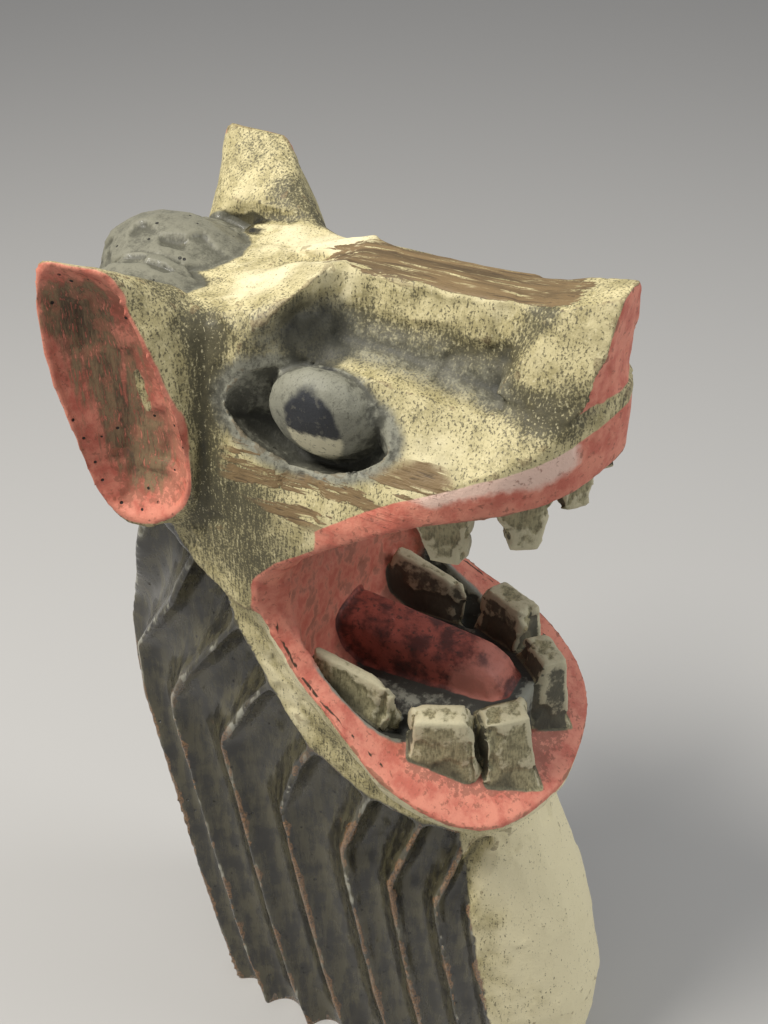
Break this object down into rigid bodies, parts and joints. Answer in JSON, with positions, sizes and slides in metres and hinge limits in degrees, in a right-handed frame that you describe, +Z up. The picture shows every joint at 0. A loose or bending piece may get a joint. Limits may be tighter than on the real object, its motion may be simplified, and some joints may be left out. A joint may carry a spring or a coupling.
{
  "type": "ship figurehead",
  "caption": "Carved and painted wooden figurehead, a roaring beast's head with open jaws and a fluted mane on a thick neck that is cut flat below.",
  "frame": {"origin": "on the flat underside of the neck, at the middle of its length and width", "axes": "-Y towards the snout, +X towards the beast's left ear, +Z up from the underside"},
  "size_m": [0.1504, 0.2505, 0.4491],
  "materials": {
    "painted_wood": "old cream, red and black paint on carved wood, worn to bare wood on the snout and the edges"
  },
  "bodies": {
    "root": {"figurehead": "painted_wood"}
  },
  "joints": []
}
